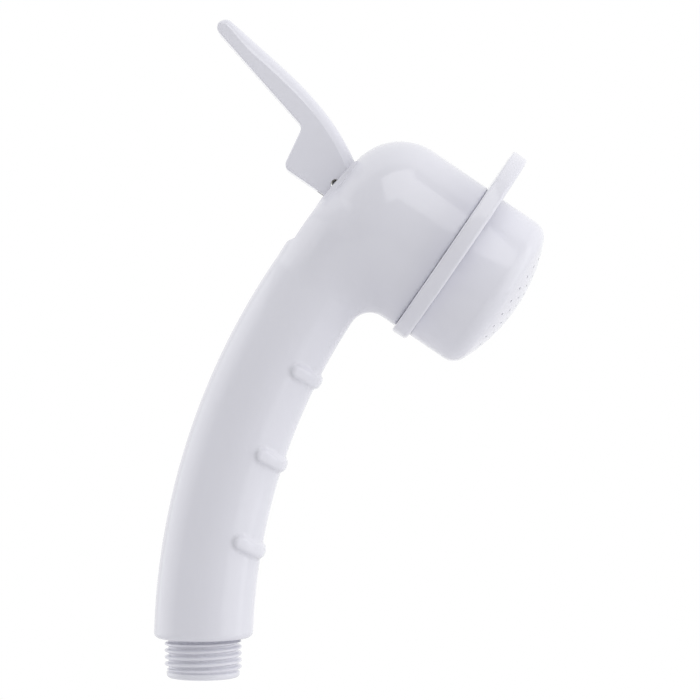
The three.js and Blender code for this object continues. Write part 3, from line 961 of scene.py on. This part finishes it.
class SHOWER_OT_pin(bpy.types.Operator):
    """Make the lever's hinge pin with chamfered ends"""

    bl_idname = "shower.pin"
    bl_label = "Hinge Pin"

    radius = 0.00095
    half = 0.0042
    chamfer = 0.0002
    sides = 48

    def execute(self, context):
        end_r, full = self.radius - self.chamfer, self.half - self.chamfer
        ends = [(end_r, -self.half), (self.radius, -full), (self.radius, full), (end_r, self.half)]
        rows = [ring(r, z, self.sides) for r, z in ends]
        pin = ring_mesh("hinge_pin", rows, pin_matrix(), loop=False)
        sharpen(pin, 30)
        wear(pin, worked_metal("pin_steel", tuple(0.5 * c for c in finish().steel), 0.35, (1.0, 0.1, 1.0)))
        settled(pin, STEM, "pin_steel", "lever_pin")
        return {"FINISHED"}


class SHOWER_OT_spring(bpy.types.Operator):
    """Make the stem's coil spring, at one fixed length; the spring itself shortens as the stem lifts"""

    bl_idname = "shower.spring"
    bl_label = "Stem Spring"

    low = -0.0162
    high = -0.005
    radius = 0.0063
    turns = 4.0
    wire_r = 0.0005
    travel = 0.0056

    def execute(self, context):
        material = worked_metal("spring_steel", tuple(finish().steel), 0.25, (1.0, 1.0, 1.0))
        inputs = {
            "Turns": self.turns,
            "Radius": self.radius,
            "Length": self.high - self.low,
            "Wire radius": self.wire_r,
            "Material": material,
        }
        tree, keys = spring_tree(inputs)
        spring = run_tree("coil_spring", tree, keys, inputs)
        place_mesh(spring, head_matrix() @ Matrix.Translation((0.0, 0.0, self.low)))
        settled(spring, HOUSING, "spring_steel", "stem_spring")
        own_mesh(spring)
        return {"FINISHED"}


class SHOWER_OT_inside(bpy.types.Operator):
    """Give the valve, seals and strainer their finishes"""

    bl_idname = "shower.inside"
    bl_label = "Valve and Seals"

    rubber = ("nipple_o_ring", "seat_o_ring", "gland_o_ring", "cup_gasket", "valve_washer")
    brass = ("valve_seat", "gland_washer", "gland_nut", "valve_stem", "washer_nut")
    white = ("flow_diffuser", "seat_retainer")

    def execute(self, context):
        groups = (
            (self.rubber, rubber_black("black_rubber", tuple(finish().rubber))),
            (self.brass, worked_metal("brass", tuple(finish().brass), 0.28, (1.0, 1.0, 0.15))),
            (self.white, moulded_white("white_inner", tuple(finish().white), 0.42, 0.12)),
            (("inlet_strainer",), worked_metal("steel_mesh", tuple(finish().steel), 0.3, (1.0, 1.0, 1.0))),
        )
        for names, material in groups:
            for name in names:
                wear(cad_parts[name], material)
        return {"FINISHED"}


class SHOWER_OT_stage(bpy.types.Operator):
    """Make the floor, the studio light and the camera"""

    bl_idname = "shower.stage"
    bl_label = "Studio"

    floor_r = 0.62
    floor_z = -0.16
    look_at = Vector((0.0400, 0.0, 0.0890))
    distance = 0.71
    lens = 134.0

    def floor(self):
        edge = ring(self.floor_r, self.floor_z, 96)
        floor = mesh_piece("studio_floor", edge.tolist(), [range(len(edge))])
        material, nodes, link, shader, where = node_material("pale_floor")
        cloud = noise(nodes, link, where, 6.0)
        link(tint(nodes, link, cloud, (0.86, 0.86, 0.87), (0.84, 0.84, 0.85)), shader.inputs["Base Color"])
        shader.inputs["Roughness"].default_value = 0.8
        wear(floor, material)

    def surround(self, scene):
        """A white tent: bright behind and to the sides, dimmer from the front."""
        world = bpy.data.worlds.new("white_tent")
        scene.world = world
        world.use_nodes = True
        nodes, link = world.node_tree.nodes, world.node_tree.links.new
        sky = nodes["Background"]
        where = nodes.new("ShaderNodeTexCoord")
        split = nodes.new("ShaderNodeSeparateXYZ")
        link(where.outputs["Generated"], split.inputs[0])
        ramp = nodes.new("ShaderNodeMapRange")
        ramp.interpolation_type = "SMOOTHSTEP"
        ramp.inputs["From Min"].default_value = -0.12
        ramp.inputs["From Max"].default_value = 0.04
        ramp.inputs["To Min"].default_value = 0.47
        ramp.inputs["To Max"].default_value = 1.0
        link(split.outputs["Y"], ramp.inputs["Value"])
        seen = nodes.new("ShaderNodeLightPath")
        pick = nodes.new("ShaderNodeMix")
        pick.inputs["B"].default_value = 1.0
        link(seen.outputs["Is Camera Ray"], pick.inputs["Factor"])
        link(ramp.outputs["Result"], pick.inputs["A"])
        link(pick.outputs["Result"], sky.inputs["Strength"])
        sky.inputs["Color"].default_value = (1.0, 1.0, 1.0, 1.0)

    def softbox(self, scene, name, place, width, power):
        light = bpy.data.lights.new(name, "AREA")
        light.size = width
        light.energy = power
        lamp = bpy.data.objects.new(name, light)
        scene.collection.objects.link(lamp)
        lamp.location = place
        lamp.rotation_euler = (self.look_at - Vector(place)).to_track_quat("-Z", "Y").to_euler()

    def camera(self, scene):
        data = bpy.data.cameras.new("camera")
        data.lens = self.lens
        camera = bpy.data.objects.new("camera", data)
        scene.collection.objects.link(camera)
        camera.location = self.look_at - Vector((0.0, self.distance, 0.0))
        camera.rotation_euler = (math.pi / 2, 0.0, 0.0)
        scene.camera = camera

    def execute(self, context):
        scene = context.scene
        scene.view_settings.view_transform = "Standard"
        self.floor()
        self.surround(scene)
        self.softbox(scene, "left_box", (-0.9, 0.2, 0.12), 1.1, 2.2)
        self.softbox(scene, "right_box", (0.8, -0.25, 0.1), 0.9, 2.0)
        self.softbox(scene, "high_box", (0.24, -0.6, 0.86), 0.85, 3.4)
        self.camera(scene)
        return {"FINISHED"}


OPERATORS = (
    SHOWER_OT_stage,
    SHOWER_OT_body,
    SHOWER_OT_lever,
    SHOWER_OT_nipple,
    SHOWER_OT_collar,
    SHOWER_OT_cup,
    SHOWER_OT_pin,
    SHOWER_OT_spring,
    SHOWER_OT_inside,
)


class SHOWER_PT_panel(bpy.types.Panel):
    """The pieces, in the order in which they are made"""

    bl_label = "Shower Head"
    bl_idname = "SHOWER_PT_panel"
    bl_space_type = "VIEW_3D"
    bl_region_type = "UI"
    bl_category = "Shower"

    def draw(self, context):
        column = self.layout.column()
        for group in (context.scene.shower_sizes, context.scene.shower_finish):
            for name in group.__annotations__:
                column.prop(group, name)
        for operator in OPERATORS:
            column.operator(operator.bl_idname)


CLASSES = (ShowerSizes, ShowerFinish, *OPERATORS, SHOWER_PT_panel)


def register():
    for cls in CLASSES:
        bpy.utils.register_class(cls)
    bpy.types.Scene.shower_sizes = bpy.props.PointerProperty(type=ShowerSizes)
    bpy.types.Scene.shower_finish = bpy.props.PointerProperty(type=ShowerFinish)


def unregister():
    del bpy.types.Scene.shower_finish
    del bpy.types.Scene.shower_sizes
    for cls in reversed(CLASSES):
        bpy.utils.unregister_class(cls)


def main():
    register()
    for operator in OPERATORS:
        group, name = operator.bl_idname.split(".")
        getattr(getattr(bpy.ops, group), name)()


if __name__ == "__main__":
    main()
